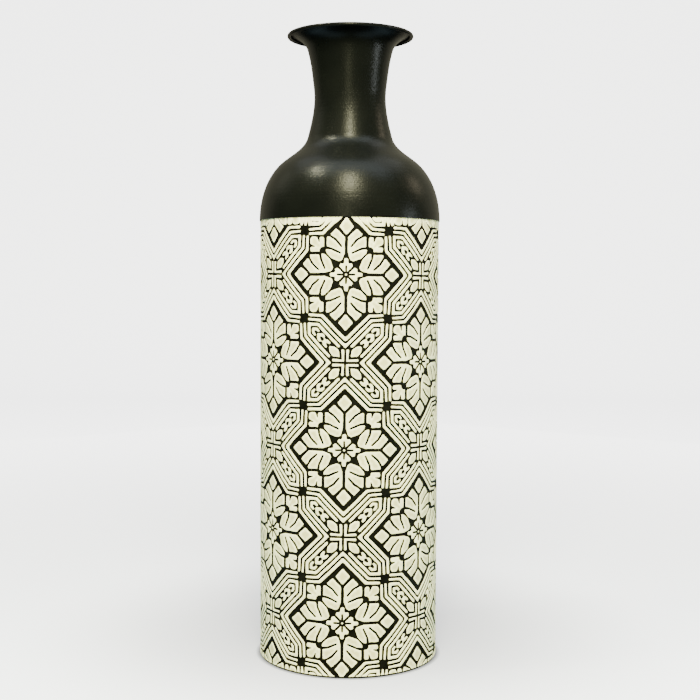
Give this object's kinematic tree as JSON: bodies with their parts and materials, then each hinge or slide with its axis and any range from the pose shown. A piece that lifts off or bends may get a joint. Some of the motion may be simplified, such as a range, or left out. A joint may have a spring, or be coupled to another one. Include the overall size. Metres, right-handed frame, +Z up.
{
  "type": "tall metal floor vase",
  "caption": "Tall cylindrical floor vase: embossed cream and black sheet-iron tube, black spun shoulder, narrow waisted neck and flared mouth with a rolled lip.",
  "frame": {"origin": "centre of the foot, on the plane the vase stands on", "axes": "+Z up along the vase's own axis, +Y towards the lap seam at the back"},
  "size_m": [0.1744, 0.1744, 0.6],
  "materials": {
    "relief_paint": "matt cream paint wiped over the raised pattern, black left in the ground",
    "black_lacquer": "satin black lacquer over fine spinning rings",
    "bare_wire": "drawn",
    "braze": "as brazed, dull"
  },
  "bodies": {
    "root": {"body_tube": "relief_paint", "shoulder": "black_lacquer", "mouth": "black_lacquer", "foot_pan": "black_lacquer", "rim_wire": "bare_wire", "joint_tack_1": "braze", "joint_tack_2": "braze", "joint_tack_3": "braze", "joint_tack_4": "braze", "joint_tack_5": "braze", "joint_tack_6": "braze", "neck_tack_1": "braze", "neck_tack_2": "braze", "neck_tack_3": "braze", "neck_tack_4": "braze", "foot_tack_1": "braze", "foot_tack_2": "braze", "foot_tack_3": "braze", "foot_tack_4": "braze", "foot_tack_5": "braze", "foot_tack_6": "braze"}
  },
  "joints": []
}
